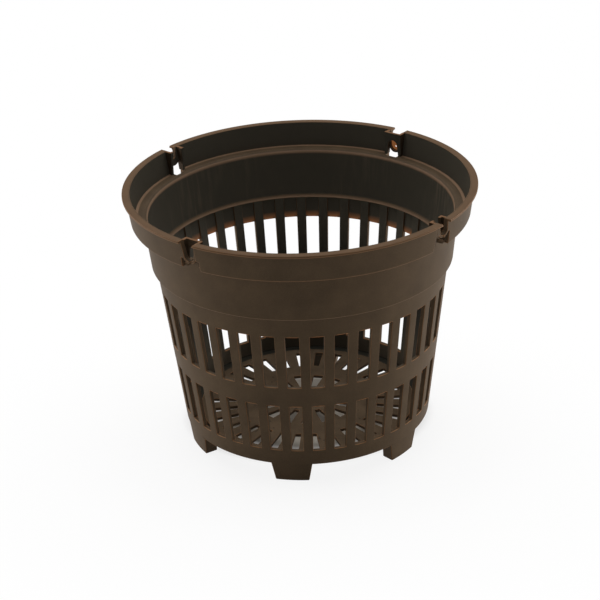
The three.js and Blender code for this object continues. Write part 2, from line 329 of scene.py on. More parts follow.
def foot_corner(column, layer, row):
    """Place of a corner in a foot's grid, drawn flat."""
    height = foot_heights[row]
    narrowing = (foot_top_width - foot_bottom_width) / floor_bottom
    half_width = (foot_bottom_width + narrowing * height) / 2
    return Vector((foot_shares[column] * half_width, layer * foot_depth - foot_skin, height))


def along_depth(edge):
    """True for an edge that runs straight through the thickness of a flat skin."""
    step = edge.verts[1].co - edge.verts[0].co
    return abs(step.y) > straightness * max(abs(step.x), abs(step.z))


def below_floor(edge):
    """True for an edge of a foot that isn't buried in the wall."""
    return min(point.co.z for point in edge.verts) < floor_bottom - foot_corner_radius


def lower_corner(edge):
    """True for an edge through the depth of a foot at one of its lower corners."""
    return along_depth(edge) and below_floor(edge)


foot_blocks = (len(foot_shares) - 1, 1, len(foot_heights) - 1)
for foot, shift in enumerate(foot_shifts):
    skin = block_skin(foot_blocks, lambda *block: True, foot_corner)
    soften(skin, foot_corner_radius, foot_corner_steps, lower_corner, glow=0.0)
    soften(skin, foot_edge_radius, rounding_steps, below_floor, glow=foot_edge_glow)
    wrap_on_wall(skin, math.tau * (foot + 0.5) / foot_count + shift)
    settle(make_object(f"foot_{foot + 1}_moulding", skin, foot_plastic), f"foot_{foot + 1}")

# Floor grille: the thin flat bottom of the same brown moulding, with thirty narrow wedge slots in a ring
# near the wall and fifteen wide ones round a plain hub, so that water runs out and roots run down. The
# mould leaves its slots square, its upper face mottled and specked, and a shallow channel at the wall.
floor_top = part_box("floor_grille")[1].z
outer_slot_margin = 0.010
outer_slot_length = 0.0127
outer_slot_width = 0.0035
hub_radius = 0.0109
inner_slot_length = 0.0111
inner_slot_width = 0.0046
inner_slot_count = 15
floor_edge_radius = 0.0505
channel_edge_radius = 0.0473
channel_slope = 0.0003
channel_depth = 0.0011
floor_overlap = 0.00003
hub_hole_radius = 0.0015
floor_slot_corner = 0.0004
floor_edge_rounding = 0.00025
floor_edge_glow = 0.6
merge_distance = 0.000004

channel_top = floor_top - channel_depth
outer_slot_end = wall_foot_radius - outer_slot_margin
outer_slot_start = outer_slot_end - outer_slot_length
inner_slot_end = hub_radius + inner_slot_length
cell_angle = math.tau / inner_slot_count
outer_half = math.asin(outer_slot_width / 2 / outer_slot_end)
inner_half = math.asin(inner_slot_width / 2 / inner_slot_end)
cell_middle = cell_angle / 2
floor_angles = (
    0.0,
    cell_angle / 4 - outer_half,
    cell_middle - inner_half,
    cell_angle / 4 + outer_half,
    cell_middle,
    3 * cell_angle / 4 - outer_half,
    cell_middle + inner_half,
    3 * cell_angle / 4 + outer_half,
    cell_angle,
)
floor_radii = (
    floor_edge_radius + floor_overlap,
    channel_edge_radius + channel_slope,
    channel_edge_radius,
    outer_slot_end,
    outer_slot_start,
    inner_slot_end,
    hub_radius,
    hub_hole_radius,
)
outer_slot_columns = (1, 2, 5, 6)
inner_slot_columns = (2, 3, 4, 5)
outer_slot_row = floor_radii.index(outer_slot_end)
inner_slot_row = floor_radii.index(inner_slot_end)


def ring_tree(name):
    """Geometry Nodes that repeat one cell round the axis and join the copies into one skin."""
    tree = bpy.data.node_groups.new(name, "GeometryNodeTree")
    sockets = {
        "Cell": "NodeSocketGeometry",
        "Copies": "NodeSocketInt",
        "Merge Distance": "NodeSocketFloat",
        "Plastic": "NodeSocketMaterial",
    }
    for socket, kind in sockets.items():
        tree.interface.new_socket(socket, in_out="INPUT", socket_type=kind)
    tree.interface.new_socket("Ring", in_out="OUTPUT", socket_type="NodeSocketGeometry")
    link = tree.links.new
    given = tree.nodes.new("NodeGroupInput")
    made = tree.nodes.new("NodeGroupOutput")
    points = tree.nodes.new("GeometryNodePoints")
    link(given.outputs["Copies"], points.inputs["Count"])
    step = add_node(tree, "ShaderNodeMath", {"operation": "DIVIDE"})
    step.inputs[0].default_value = math.tau
    link(given.outputs["Copies"], step.inputs[1])
    turn = add_node(tree, "ShaderNodeMath", {"operation": "MULTIPLY"})
    link(tree.nodes.new("GeometryNodeInputIndex").outputs["Index"], turn.inputs[0])
    link(step.outputs["Value"], turn.inputs[1])
    about_axis = tree.nodes.new("ShaderNodeCombineXYZ")
    link(turn.outputs["Value"], about_axis.inputs["Z"])
    rotation = tree.nodes.new("FunctionNodeEulerToRotation")
    link(about_axis.outputs["Vector"], rotation.inputs["Euler"])
    copies = tree.nodes.new("GeometryNodeInstanceOnPoints")
    link(points.outputs["Points"], copies.inputs["Points"])
    link(given.outputs["Cell"], copies.inputs["Instance"])
    link(rotation.outputs["Rotation"], copies.inputs["Rotation"])
    real = tree.nodes.new("GeometryNodeRealizeInstances")
    link(copies.outputs["Instances"], real.inputs["Geometry"])
    joined = tree.nodes.new("GeometryNodeMergeByDistance")
    link(real.outputs["Geometry"], joined.inputs["Geometry"])
    link(given.outputs["Merge Distance"], joined.inputs["Distance"])
    clad = tree.nodes.new("GeometryNodeSetMaterial")
    link(joined.outputs["Geometry"], clad.inputs["Geometry"])
    link(given.outputs["Plastic"], clad.inputs["Material"])
    link(clad.outputs["Geometry"], made.inputs["Ring"])
    return tree


def repeat_round(cell, name, copies, plastic):
    """A ring of one cell's copies as a piece of plain mesh."""
    piece = make_object(name, cell, plastic)
    ring = piece.modifiers.new("ring", "NODES")
    ring.node_group = ring_tree(name + "_ring")
    values = {"Copies": copies, "Merge Distance": merge_distance, "Plastic": plastic}
    for socket in ring.node_group.interface.items_tree:
        if socket.name in values:
            ring[socket.identifier] = values[socket.name]
    apply_modifiers(piece)
    return piece


def reshape(piece, change):
    """Hands a piece's mesh to a change as a skin, and takes the result back."""
    skin = bmesh.new()
    skin.from_mesh(piece.data)
    change(skin)
    skin.to_mesh(piece.data)
    skin.free()


def floor_corner(column, layer, row):
    """Place of a corner in the grid of one floor cell, drawn flat and as long as its arc."""
    radius = floor_radii[layer]
    top = channel_top if radius > channel_edge_radius else floor_top
    height = top if row else floor_bottom
    return Vector((floor_angles[column] * radius, floor_edge_radius - radius, height))


def floor_filled(column, layer, row):
    """True for a block of the floor that no slot takes out."""
    if layer == outer_slot_row:
        return column not in outer_slot_columns
    if layer == inner_slot_row:
        return column not in inner_slot_columns
    return True


def upright_edge(edge):
    """True for an edge that runs straight up a flat skin."""
    step = edge.verts[1].co - edge.verts[0].co
    return abs(step.z) > straightness * max(abs(step.x), abs(step.y))


def clear_of_wall(edge):
    """True for an edge of the floor that isn't butted against the wall."""
    return min(point.co.y for point in edge.verts) > 0


def close_hub(skin):
    """Closes the middle of the floor, where the cells' inner ends leave a small round hole."""
    bmesh.ops.holes_fill(skin, edges=[edge for edge in skin.edges if edge.is_boundary], sides=0)
    bmesh.ops.recalc_face_normals(skin, faces=skin.faces)


floor_plastic = moulded_brown("floor_plastic", seed=1.7, mottle=1.1, specks=0.7)
sides_and_hub = ((0, 0), (0, 1), (1, 1))
floor_blocks = (len(floor_angles) - 1, len(floor_radii) - 1, 1)
skin = block_skin(floor_blocks, floor_filled, floor_corner, sides_and_hub)
soften(skin, floor_slot_corner, rounding_steps, upright_edge, glow=0.0)
soften(skin, floor_edge_rounding, rounding_steps, clear_of_wall, glow=floor_edge_glow)
shade = point_layer(skin, "deep_shade")
# Painted shade: the channel along the wall is marked for deep shade.
for point in skin.verts:
    across, inwards, height = point.co
    radius = floor_edge_radius - inwards
    in_channel = radius > channel_edge_radius + channel_slope / 2 and height > floor_bottom
    point[shade] = float(in_channel)
    angle = across / radius
    point.co = (radius * math.sin(angle), -radius * math.cos(angle), height)
grille = repeat_round(skin, "floor_grille_moulding", inner_slot_count, floor_plastic)
reshape(grille, close_hub)
settle(grille, "floor_grille")

# Slotted wall: the cone of the basket from the floor up to the step, moulded in the same brown plastic
# with two rows of thirty-eight tall slots. The bars run on inside as ribs up to the step, with thin webs
# between them, painted with an orange glow for the light that shows through them, and the wall turns
# into the floor in a small cove.
lower_slot_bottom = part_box("lower_slot_row")[0].z
upper_slot_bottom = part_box("upper_slot_row")[0].z
lower_slot_height = 0.0225
upper_slot_height = 0.0248
slot_count = 38
upper_slot_width = 0.0059
lower_slot_width = 0.0053
wall_thickness = 0.0018
web_thickness = 0.0011
wall_seat = 0.0004
slot_corner_radius = 0.0006
cove_radius = 0.0003
cove_steps = 2
cove_fade = 0.0007
wall_edge_rounding = 0.0003
glow_height = 0.0032
inner_edge_share = 0.3
web_glow = 0.65
slot_top_glow = 0.8
sill_glow = 0.35
tolerance = 1e-6

lower_slot_top = lower_slot_bottom + lower_slot_height
upper_slot_top = upper_slot_bottom + upper_slot_height
wall_heights = (
    floor_bottom,
    channel_top,
    channel_top + cove_fade,
    lower_slot_bottom,
    lower_slot_top,
    upper_slot_bottom,
    upper_slot_top,
    upper_slot_top + glow_height / 3,
    upper_slot_top + glow_height,
    wall_top + wall_seat,
)
lower_half = math.asin(lower_slot_width / 2 / wall_radius(lower_slot_top))
upper_half = math.asin(upper_slot_width / 2 / wall_radius(upper_slot_top))
half_pitch = math.pi / slot_count
wall_depths = (0.0, web_thickness, wall_thickness)
wall_columns = 8
slot_columns = (2, 3, 4, 5)
lower_slots = wall_heights.index(lower_slot_bottom)
upper_slots = wall_heights.index(upper_slot_bottom)
first_web_row = wall_heights.index(upper_slot_top)


def wall_corner(column, layer, row):
    """Place of a corner in the grid of one slot's stretch of wall, drawn flat."""
    height = wall_heights[row]
    half = upper_half if row >= upper_slots else lower_half
    middle_of_bar = (half + half_pitch) / 2
    right_half = (0.0, half / 2, half, middle_of_bar, half_pitch)
    offset = column - wall_columns // 2
    angle = math.copysign(right_half[abs(offset)], offset)
    radius = wall_radius(height)
    depth = wall_depths[layer] if layer < len(wall_depths) else radius - floor_edge_radius
    return Vector((angle * radius, depth, height))


def wall_filled(column, layer, row):
    """True for a block of the wall that isn't in a slot or behind a thin web."""
    in_slot = column in slot_columns
    if layer == len(wall_depths) - 1:
        return row == 0
    if row in (lower_slots, upper_slots):
        return not in_slot
    return not (row >= first_web_row and in_slot and layer == 1)


def near(value, target):
    """True where two lengths are the same but for rounding."""
    return abs(value - target) < tolerance


def in_cove(edge):
    """True for the inner corner between the wall and the floor."""
    return all(near(p.co.y, wall_thickness) and near(p.co.z, channel_top) for p in edge.verts)


def shows(edge):
    """True for an edge of the wall that isn't buried in the band or butted against the floor."""
    buried = all(p.co.z > wall_top for p in edge.verts)
    butted = all(near(wall_radius(p.co.z) - p.co.y, floor_edge_radius) for p in edge.verts)
    return not (buried or butted)


def slot_corner(edge):
    """True for an edge through the wall's thickness at a corner of a slot."""
    return along_depth(edge) and edge.verts[0].co.z < wall_top


wall_plastic = moulded_brown("wall_plastic", seed=3.1)
both_sides = ((0, 0), (0, 1))
wall_blocks = (wall_columns, len(wall_depths), len(wall_heights) - 1)
skin = block_skin(wall_blocks, wall_filled, wall_corner, both_sides)
soften(skin, slot_corner_radius, rounding_steps, slot_corner, glow=0.0)
soften(skin, cove_radius, cove_steps, in_cove, glow=0.0)
soften(skin, wall_edge_rounding, rounding_steps, shows)
edge_zone = 2 * wall_edge_rounding
crest = point_layer(skin, "painted_edge_highlight")
thin = point_layer(skin, "painted_backlit_glow")
shade = point_layer(skin, "deep_shade")
for point in skin.verts:
    across, inwards, height = point.co
    if inwards > web_thickness / 2:
        point[crest] *= inner_edge_share
    # The inner face darkens downwards, and the corner along the floor is in deep shade.
    if inwards > web_thickness and height > lower_slot_bottom + edge_zone:
        depth = (upper_slot_top - height) / (upper_slot_top - upper_slot_bottom)
        point[shade] = min(max(depth, 0.0), 1.0)
    elif inwards > wall_thickness - merge_distance:
        point[shade] = float(floor_bottom < height < channel_top + 2 * cove_radius)
    # Painted glow: the thin tops of the slots, the lower sills and the foot of each web are marked for
    # an orange colour and emission that stand in for light showing through them.
    if inwards < web_thickness / 2:
        for top, width in ((lower_slot_top, lower_slot_width), (upper_slot_top, upper_slot_width)):
            on_top = abs(height - top) < edge_zone
            if point[crest] and on_top and abs(across) < (width - slot_corner_radius) / 2:
                point[thin] = slot_top_glow
        continue
    if abs(height - lower_slot_bottom) < edge_zone and point[crest]:
        point[thin] = sill_glow
    rise = max(height - upper_slot_top, 0.0)
    beside_rib = 0.0 if rise > glow_height / 4 else slot_corner_radius / 2
    on_web = abs(across) < upper_slot_width / 2 - beside_rib
    if on_web and height > upper_slot_top - edge_zone and rise < glow_height:
        point[thin] = web_glow * (1 - rise / glow_height) ** 2
wrap_on_wall(skin, half_pitch)
wall = repeat_round(skin, "slotted_wall_moulding", slot_count, wall_plastic)
settle(wall, "base_hoop", "lower_slot_row", "upper_slot_row")

# Band and shoulder: the plain brown wall above the slots, turned out at its top into the flat ledge
# inside the collar. One moulded skin of even thickness with eased corners and a small step at its foot,
# where the slotted wall is set in. Cores from below left the ledge cut through behind each hanger eye.
band_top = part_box("shoulder_ledge")[0].z
ledge_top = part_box("shoulder_ledge")[1].z
rim_clearance = 0.000001
rim_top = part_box("collar_arc_1")[1].z - rim_clearance
band_foot_radius = 0.06455
band_top_radius = 0.0668
band_wall = 0.0018
band_foot_rounding = 0.0004
band_top_rounding = 0.0007
band_inner_rounding = 0.0005
ledge_inner_radius = 0.065
ledge_outer_radius = 0.0699
ledge_edge_radius = 0.0016
step_inner_radius = wall_top_radius - wall_thickness
step_thickness = 0.0013
step_edge_drop = 0.0008
step_foot_rounding = 0.0002
step_edge_rounding = 0.0003
collar_seat = 0.00002
collar_spread = 0.0016
collar_rise = 0.0105
collar_lean = collar_spread / collar_rise
cove_rise = 0.00015
cove_run = 0.001
ledge_fade = 0.0003
edge_reach = 0.0022
turning_steps = 304
eye_count = 4
plate_width = 0.0088
plate_thickness = 0.0012
plate_clearance = 0.0003
cheek_thickness = 0.0013
cheek_gap = plate_width - 2 * cheek_thickness
core_widths = (0.0058, 0.0060, 0.0058, 0.0060)
core_overreach = 0.0016
plate_outer = math.sqrt(ledge_outer_radius ** 2 - (plate_width / 2) ** 2) - plate_clearance
plate_inner = plate_outer - plate_thickness
cutter_reach = 0.003


def eased(corners, steps=4):
    """Outline through corners of (radius, height, rounding), each rounding drawn as an arc."""
    outline = []
    for index, (radius, height, rounding) in enumerate(corners):
        here = Vector((radius, height))
        if not rounding:
            outline.append(here)
            continue
        to_last = (Vector(corners[index - 1][:2]) - here).normalized()
        to_next = (Vector(corners[(index + 1) % len(corners)][:2]) - here).normalized()
        half = to_last.angle(to_next) / 2
        centre = here + (to_last + to_next).normalized() * rounding / math.sin(half)
        start = here + to_last * rounding / math.tan(half) - centre
        end = here + to_next * rounding / math.tan(half) - centre
        turn = start.angle(end)
        for step in range(steps + 1):
            share = step / steps
            spoke = start * math.sin((1 - share) * turn) + end * math.sin(share * turn)
            outline.append(centre + spoke / math.sin(turn))
    return outline


def turned_skin(outline, steps):
    """Turns a closed outline of (radius, height) points round the axis."""
    skin = bmesh.new()
    rows = []
    for step in range(steps):
        angle = math.tau * step / steps
        across, along = math.sin(angle), -math.cos(angle)
        rows.append([skin.verts.new((r * across, r * along, z)) for r, z in outline])
    for step, row in enumerate(rows):
        after = rows[(step + 1) % steps]
        for index in range(len(outline)):
            beyond = (index + 1) % len(outline)
            skin.faces.new((row[index], after[index], after[beyond], row[beyond]))
    return skin


def prism(outline, inner_radius, outer_radius, turn, inner_lean=0.0, outer_lean=0.0):
    """An upright outline of (sideways, height) points, pushed outwards into an eye's stretch of rim.

    Its two ends can lean out from the ledge's height by a share of the rise.
    """
    skin = bmesh.new()
    inner = [skin.verts.new((x, -inner_radius - inner_lean * (z - ledge_top), z)) for x, z in outline]
    outer = [skin.verts.new((x, -outer_radius - outer_lean * (z - ledge_top), z)) for x, z in outline]
    skin.faces.new(outer)
    skin.faces.new(reversed(inner))
    for index in range(len(outline)):
        beyond = (index + 1) % len(outline)
        skin.faces.new((inner[index], inner[beyond], outer[beyond], outer[index]))
    bmesh.ops.recalc_face_normals(skin, faces=skin.faces)
    bmesh.ops.rotate(skin, verts=skin.verts, matrix=Matrix.Rotation(turn, 3, "Z"))
    return skin


def joined_skin(skins):
    """One skin that holds several separate ones."""
    whole = bmesh.new()
    for skin in skins:
        shape = bpy.data.meshes.new("loose")
        skin.to_mesh(shape)
        skin.free()
        whole.from_mesh(shape)
        bpy.data.meshes.remove(shape)
    return whole


def cut_away(piece, cutter_skin):
    """Cuts the room that a skin takes up out of a piece."""
    cutter = make_object("cutter", cutter_skin, piece.data.materials[0])
    cut = piece.modifiers.new("cut", "BOOLEAN")
    cut.operation = "DIFFERENCE"
    cut.solver = "EXACT"
    cut.object = cutter
    apply_modifiers(piece)
    bpy.data.objects.remove(cutter)


def paint_highlight_rings(skin, rings):
    """Marks the points round each ring of (radius, height, reach, glow) for a painted highlight."""
    crest = point_layer(skin, "painted_edge_highlight")
    for point in skin.verts:
        radius = math.hypot(point.co.x, point.co.y)
        point[crest] = max(
            glow if math.hypot(radius - ring_radius, point.co.z - height) < reach else 0.0
            for ring_radius, height, reach, glow in rings
        )


def box_outline(left, right, bottom, top):
    """A four-cornered outline between two sides and a lower and an upper edge."""
    return [(left, bottom), (right, bottom), (right, top), (left, top)]


step_edge_height = wall_top + step_thickness - step_edge_drop
band_rise = ledge_top - wall_top - step_thickness
band_lean = (ledge_inner_radius - band_foot_radius + band_wall) / band_rise
band_outline = eased((
    (step_inner_radius, wall_top, step_foot_rounding),
    (band_foot_radius, wall_top, band_foot_rounding),
    (band_top_radius, band_top, band_top_rounding),
    (ledge_outer_radius + collar_seat, band_top, 0.0),
    (ledge_outer_radius + collar_seat + collar_lean * cove_rise, ledge_top + cove_rise, 0.0),
    (ledge_outer_radius - cove_run, ledge_top, 0.0),
    (ledge_outer_radius - cove_run - ledge_fade, ledge_top, 0.0),
    (ledge_inner_radius, ledge_top, ledge_edge_radius),
    (ledge_inner_radius - band_lean * edge_reach, ledge_top - edge_reach, 0.0),
    (band_foot_radius - band_wall, wall_top + step_thickness, band_inner_rounding),
    (step_inner_radius, step_edge_height, step_edge_rounding),
))
# Rings of painted highlight: the band's foot, the ledge's inner edge, the cove at the collar and the
# step's edge.
band_glow = (
    (band_foot_radius, wall_top, 0.00035, 0.45),
    (ledge_inner_radius, ledge_top - ledge_edge_radius * 0.7, 0.0005, 0.8),
    (ledge_outer_radius - cove_run / 2, ledge_top, 0.00062, 0.5),
    (step_inner_radius, step_edge_height, 0.00025, 0.55),
)
# Colour of the painted highlights on the band's edges.
band_painted_highlight = (0.36, 0.22, 0.135)
band_plastic = moulded_brown("band_plastic", seed=4.9, streaks=0.6, edge=band_painted_highlight)
band = make_object("band_and_shoulder_moulding", turned_skin(band_outline, turning_steps), band_plastic)
core_bottom = band_top - cutter_reach
core_top = ledge_top + cutter_reach
core_radii = (plate_inner - core_overreach, ledge_outer_radius + cutter_reach)
eye_turns = [math.tau * eye / eye_count for eye in range(eye_count)]
cores = []
for width, turn in zip(core_widths, eye_turns):
    core_outline = box_outline(-width / 2, width / 2, core_bottom, core_top)
    cores.append(prism(core_outline, *core_radii, turn))
cut_away(band, joined_skin(cores))
reshape(band, lambda skin: paint_highlight_rings(skin, band_glow))
settle(band, "upper_band", "shoulder_ledge")

# Collar: the upright rim of the brown moulding with its thin outturned lip. It leans out a little so
# that the pot leaves the mould, and four cup-shaped notches over narrow straps pass through it for the
# hanger wires. The back notch still has a thin skin of flash across its foot.
rim_radius = 0.07495
lip_thickness = 0.001
lip_bottom = rim_top - lip_thickness
lip_overhang = 0.00146
collar_top_radius = rim_radius - lip_overhang
collar_foot_radius = collar_top_radius - collar_spread
collar_wall = 0.0018
collar_inner_radius = collar_top_radius - collar_wall
collar_foot_rounding = 0.0006
lip_root_rounding = 0.0003
lip_under_rounding = 0.00025
lip_top_rounding = 0.0003
lip_inner_rounding = 0.0002
glow_fade = 0.0014
cup_tops = ((-0.0031, 0.0041), (-0.0040, 0.0014), (-0.0036, 0.0030), (-0.0022, 0.0031))
cup_radii = (0.0022, 0.0022, 0.0022, 0.0014)
strap_widths = (0.001, 0.001, 0.001, 0.0032)
window_splay = 0.0004
window_sides = ((-0.0041, 0.0049), (-0.0058, 0.0041), (-0.0041, 0.0041), (-0.0058, 0.0041))
closed_recess_sides = (0.0, 0.0034)
open_recess_sides = (-0.0050, 0.0002)
recess_depth = 0.0005
low_strap_rise = 0.0024
low_window_height = 0.0044
high_strap_rise = 0.0044
high_window_height = 0.0062
flash_eye = 2
flash_radii = (0.0712, 0.0715)
flash_drop = 0.005
flash_seat = 0.0002
flash_hole_radius = 0.0004
flash_hole_rise = 0.0016
flash_hole_side = 0.0001
arc_steps = 12
outline_steps = 3
notch_edge_rounding = 0.00024
notch_edge_steps = 2
eye_margin = 0.0025


def arc(centre, radius, start, end):
    """Points along an arc about a height on the eye's middle line."""
    angles = [start + (end - start) * step / arc_steps for step in range(arc_steps + 1)]
    return [(radius * math.cos(angle), centre + radius * math.sin(angle)) for angle in angles]


def eye_is_closed(eye):
    """True for an eye with an arched hole, and false for one with a slit."""
    return eye % 2 == 0


def strap_centre(eye):
    """Height of the middle of an eye's cup, about which its strap bends."""
    rise = low_strap_rise if eye_is_closed(eye) else high_strap_rise
    return band_top + rise + strap_widths[eye] + cup_radii[eye]


def cup_outline(eye):
    """The cup-shaped notch of an eye, round at its foot and open at the rim."""
    left, right = cup_tops[eye]
    over = rim_top + cutter_reach
    bottom = arc(strap_centre(eye), cup_radii[eye], math.pi, math.tau)
    return [(left, over), (left, rim_top), *bottom, (right, rim_top), (right, over)]


def window_outline(eye):
    """The window under an eye's strap, whose upper edge follows the strap."""
    left, right = window_sides[eye]
    foot = band_top - cutter_reach
    top = band_top + (low_window_height if eye_is_closed(eye) else high_window_height)
    radius = cup_radii[eye] + strap_widths[eye]
    start = math.asin((top - strap_centre(eye)) / radius)
    strap_edge = arc(strap_centre(eye), radius, start, -math.pi - start)
    foot_corners = [(left - window_splay, foot), (right + window_splay, foot)]
    return [(left, top), *foot_corners, (right, top), *strap_edge]


def notch_cuts(eye, turn):
    """The cutters of one eye: its cup, the window under its strap and the core's sunk outer patch."""
    inside = ledge_outer_radius - cutter_reach
    outside = rim_radius + cutter_reach
    outlines = (cup_outline(eye), window_outline(eye))
    cuts = [prism(outline, inside, outside, turn) for outline in outlines]
    patch_sides = closed_recess_sides if eye_is_closed(eye) else open_recess_sides
    patch = box_outline(*patch_sides, band_top + recess_depth, lip_bottom - recess_depth)
    sunk = collar_foot_radius + collar_lean * (ledge_top - band_top) - recess_depth
    return [*cuts, prism(patch, sunk, outside, turn, collar_lean)]


def flash_skin(eye, turn):
    """The thin skin of flash across the foot of an eye's cup, with one small hole in it."""
    centre = strap_centre(eye)
    flash_top = rim_top - flash_drop
    left, *bottom, right = arc(centre, cup_radii[eye] + flash_seat, math.pi, math.tau)
    outline = [(left[0], flash_top), left, *bottom, right, (right[0], flash_top)]
    sheet = make_object("flash", prism(outline, *flash_radii, turn), collar_plastic)
    hole_height = centre - cup_radii[eye] + flash_hole_rise
    hole_rim = arc(hole_height, flash_hole_radius, 0.0, math.tau)[1:]
    hole = [(flash_hole_side + x, z) for x, z in hole_rim]
    hole_radii = (flash_radii[0] - flash_seat, flash_radii[1] + flash_seat)
    cut_away(sheet, prism(hole, *hole_radii, turn))
    skin = bmesh.new()
    skin.from_mesh(sheet.data)
    bpy.data.objects.remove(sheet)
    return skin


def on_notch(edge):
    """True for an edge of a notch or a window."""
    middle = (edge.verts[0].co + edge.verts[1].co) / 2
    return min(abs(middle.x), abs(middle.y)) < window_sides[0][1] + eye_margin


def finish_collar(skin):
    """Marks the lip's edges for painted highlights, and rounds the edges of the notches, with painted
    highlights on their crests.
    """
    paint_highlight_rings(skin, collar_glow)
    soften(skin, notch_edge_rounding, notch_edge_steps, on_notch, clamp=False)


def add_flash(skin):
    """Sets the flash in its notch and marks its inner face for a painted orange glow, for the light
    behind that shows through it.
    """
    flash = flash_skin(flash_eye, eye_turns[flash_eye])
    thin = point_layer(skin, "painted_backlit_glow")
    copies = {point: skin.verts.new(point.co) for point in flash.verts}
    for face in flash.faces:
        skin.faces.new([copies[point] for point in face.verts])
    for point in copies.values():
        point[thin] = float(near(point.co.y, flash_radii[0]))
    flash.free()


collar_outline = eased((
    (ledge_outer_radius, band_top, 0.0),
    (collar_foot_radius - glow_fade, band_top, 0.0),
    (collar_foot_radius, band_top, collar_foot_rounding),
    (collar_foot_radius + collar_lean * glow_fade, band_top + glow_fade, 0.0),
    (collar_top_radius, lip_bottom, lip_root_rounding),
    (rim_radius - lip_thickness / 2, lip_bottom, 0.0),
    (rim_radius, lip_bottom, lip_under_rounding),
    (rim_radius, rim_top, lip_top_rounding),
    (rim_radius - lip_thickness / 2, rim_top, 0.0),
    (collar_inner_radius + glow_fade / 2, rim_top, 0.0),
    (collar_inner_radius, rim_top, lip_inner_rounding),
    (collar_inner_radius - collar_lean * glow_fade / 2, rim_top - glow_fade / 2, 0.0),
    (ledge_outer_radius, ledge_top, 0.0),
), outline_steps)
# Rings of painted highlight on the collar's foot and on the lip's edges.
collar_glow = (
    (collar_foot_radius, band_top, 0.0004, 0.45),
    (rim_radius, lip_bottom, 0.00026, 0.5),
    (rim_radius, rim_top, 0.00028, 0.5),
    (rim_radius - lip_thickness / 2, rim_top, 0.0001, 0.18),
    (collar_inner_radius + glow_fade / 2, rim_top, 0.0001, 0.18),
    (collar_inner_radius, rim_top, 0.0001, 0.5),
)
collar_plastic = moulded_brown("collar_plastic", seed=6.3)
collar = make_object("collar_moulding", turned_skin(collar_outline, turning_steps), collar_plastic)
for eye, turn in enumerate(eye_turns):
    for cutter_skin in notch_cuts(eye, turn):
        cut_away(collar, cutter_skin)
reshape(collar, finish_collar)
reshape(collar, add_flash)
settle(collar, *(f"collar_arc_{eye + 1}" for eye in range(eye_count)))

# Hanger eyes: a small pocket behind each notch, moulded in the same brown plastic, two cheeks that carry
# a flat plate just inside the collar. Two facing eyes have an arched hole in the plate, and the other
# two are split from top to foot, so that a wire hook can be pushed in behind the strap.
cheek_seat = 0.0009
plate_seat = 0.0001
eye_top_drops = (0.0005, 0.0005, 0.0002, 0.00005)
cheek_inset = 0.00002
arch_depth = 0.0036
arch_foot_width = 0.0058
arch_top_radius = 0.0024
slit_widths = {1: (0.0038, 0.0062), 3: (0.0050, 0.0078)}
pocket_edge_rounding = 0.0002
pocket_edge_steps = 2
top_glow = 0.5
eye_foot = ledge_top - plate_seat
# Painted shade: the pockets' plastic is made darker, at 0.65 of its lightness, for the shade inside the
# narrow pockets.
eye_plastic_painted_shade = moulded_brown("eye_plastic_painted_shade", seed=8.2, lightness=0.65)


def arched_plate(eye_top):
    """Outline of a closed eye's plate, with the arch left open at the ledge."""
    half = plate_width / 2
    half_arch = arch_foot_width / 2
    crown = arc(rim_top - arch_depth - arch_top_radius, arch_top_radius, math.pi, 0.0)
    outside = [(half, eye_foot), (half, eye_top), (-half, eye_top)]
    return [(-half, eye_foot), (-half_arch, eye_foot), *crown, (half_arch, eye_foot), *outside]


def half_plate(side, eye_top, top_gap, foot_gap):
    """Outline of one half of an open eye's split plate."""
    half = plate_width / 2
    slit = [(top_gap / 2, eye_top), (foot_gap / 2, eye_foot)]
    return [(side * x, z) for x, z in [(half, eye_foot), (half, eye_top), *slit]]


def cheek(side, eye_top):
    """Outline of one cheek, seen from the front."""
    left, right = sorted((side * (plate_width / 2 - cheek_inset), side * cheek_gap / 2))
    return box_outline(left, right, eye_foot, eye_top - cheek_inset)


def above_ledge(edge):
    """True for an edge of a pocket that isn't buried in the ledge."""
    return max(point.co.z for point in edge.verts) > ledge_top


def paint_top_highlight(skin, eye_top):
    """Marks the pocket's thin upper face for a painted highlight."""
    crest = point_layer(skin, "painted_edge_highlight")
    for point in skin.verts:
        point[crest] = top_glow if point.co.z > eye_top - pocket_edge_rounding / 2 else 0.0


cheek_radii = (plate_inner + cheek_inset, ledge_outer_radius + cheek_seat)
for eye, turn in enumerate(eye_turns):
    top = rim_top - eye_top_drops[eye]
    if eye_is_closed(eye):
        plates = [arched_plate(top)]
    else:
        plates = [half_plate(side, top, *slit_widths[eye]) for side in (-1, 1)]
    walls = [prism(outline, plate_inner, plate_outer, turn) for outline in plates]
    walls += [prism(cheek(side, top), *cheek_radii, turn, outer_lean=collar_lean) for side in (-1, 1)]
    for skin in walls:
        soften(skin, pocket_edge_rounding, pocket_edge_steps, above_ledge, glow=0.0)
    pocket_skin = joined_skin(walls)
    paint_top_highlight(pocket_skin, top)
    name = f"hanger_eye_{eye + 1}"
    settle(make_object(name + "_moulding", pocket_skin, eye_plastic_painted_shade), name)

